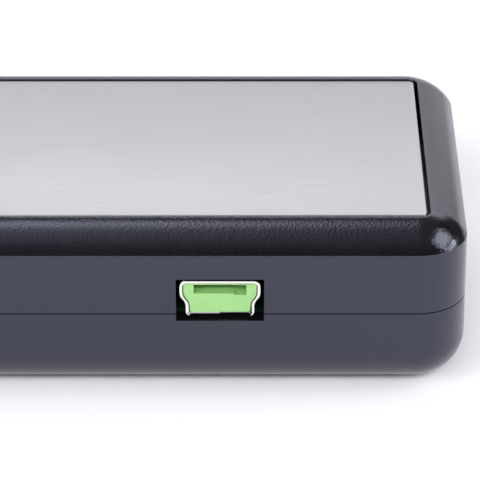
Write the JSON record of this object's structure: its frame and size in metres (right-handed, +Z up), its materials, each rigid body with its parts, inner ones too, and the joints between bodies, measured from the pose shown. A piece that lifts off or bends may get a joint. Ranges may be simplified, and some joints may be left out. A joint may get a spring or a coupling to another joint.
{
  "type": "digital gram scale",
  "caption": "Slim battery-powered gram scale with a flush brushed-steel platform on a load cell, display, keys, USB power port and coin-cell cap.",
  "frame": {"origin": "on the table, under the middle of the case, at the bottom of the rubber feet", "axes": "+X along the case from the display to the platform, +Y towards the user (the USB port faces -Y), +Z up"},
  "size_m": [0.112, 0.036, 0.018],
  "materials": {
    "black_abs": "moulded ABS with a fine spark-eroded grain, semi-gloss",
    "platform_steel": "fine satin stainless steel",
    "rubber": "matt",
    "window": "clear acrylic over a printed black border",
    "key_plastic": "satin",
    "plated_steel": "bright nickel plating",
    "green_moulding": "pale green moulded thermoplastic",
    "contact_metal": "gold flash",
    "screw_steel": "black zinc",
    "board": "green solder mask",
    "chip": "moulded epoxy",
    "cell_aluminium": "milled",
    "silicone": "white sealing silicone",
    "lcd_glass": "polarised display glass",
    "white_plastic": "moulded",
    "zebra_rubber": "soft",
    "plunger_plastic": "moulded",
    "wire_sleeve": "PVC sleeve"
  },
  "bodies": {
    "base": {"lower_case": "black_abs", "upper_case": "black_abs", "foot_front_right": "rubber", "foot_back_right": "rubber", "foot_front_left": "rubber", "foot_back_left": "rubber", "case_screw_front_right": "screw_steel", "case_screw_back_right": "screw_steel", "case_screw_front_left": "screw_steel", "case_screw_back_left": "screw_steel", "load_cell": "cell_aluminium", "gauge_coating_top": "silicone", "gauge_coating_bottom": "silicone", "cell_base_screw_1": "screw_steel", "cell_base_screw_2": "screw_steel", "load_cell_wires": "wire_sleeve", "usb_wires": "wire_sleeve", "main_board": "board", "board_screw_1": "screw_steel", "board_screw_2": "screw_steel", "controller_chip": "chip", "converter_chip": "chip", "crystal": "plated_steel", "display_window": "window", "lcd_glass": "lcd_glass", "lcd_frame": "white_plastic", "light_guide": "white_plastic", "zebra_strip": "zebra_rubber", "switch_power": "chip", "switch_mode": "chip", "switch_tare": "chip", "usb_shell": "plated_steel", "usb_insulator": "green_moulding", "usb_contact_1": "contact_metal", "usb_contact_2": "contact_metal", "usb_contact_3": "contact_metal", "usb_contact_4": "contact_metal", "usb_contact_5": "contact_metal", "usb_board": "board", "usb_board_screw_1": "screw_steel", "usb_board_screw_2": "screw_steel", "regulator_chip": "chip", "coin_cell": "plated_steel", "contact_centre": "contact_metal", "contact_side": "contact_metal"},
    "platform": {"platform_plate": "platform_steel", "platform_tray": "black_abs", "cell_platform_screw_1": "screw_steel", "cell_platform_screw_2": "screw_steel"},
    "power_key": {"key_power": "key_plastic", "plunger_power": "plunger_plastic"},
    "mode_key": {"key_mode": "key_plastic", "plunger_mode": "plunger_plastic"},
    "tare_key": {"key_tare": "key_plastic", "plunger_tare": "plunger_plastic"},
    "cap": {"battery_cap": "black_abs", "battery_cap_seal": "rubber"}
  },
  "joints": [
    {"name": "platform_press", "type": "slide", "parent": "base", "child": "platform", "axis": [0, 0, -1], "range_m": [0, 0.0003], "stiffness_N_per_m": 4000, "springref_m": -0.0001, "deforming": ["load_cell"]},
    {"name": "power_press", "type": "slide", "parent": "base", "child": "power_key", "axis": [0, 0, -1], "range_m": [0, 0.00045], "stiffness_N_per_m": 400, "springref_m": -0.0005},
    {"name": "mode_press", "type": "slide", "parent": "base", "child": "mode_key", "axis": [0, 0, -1], "range_m": [0, 0.00045], "stiffness_N_per_m": 400, "springref_m": -0.0005},
    {"name": "tare_press", "type": "slide", "parent": "base", "child": "tare_key", "axis": [0, 0, -1], "range_m": [0, 0.00045], "stiffness_N_per_m": 400, "springref_m": -0.0005},
    {"name": "cap_turn", "type": "hinge", "parent": "base", "child": "cap", "pos_m": [-0.035, 0, 0.0008], "axis": [0, 0, 1], "range_deg": [0, 45]}
  ]
}
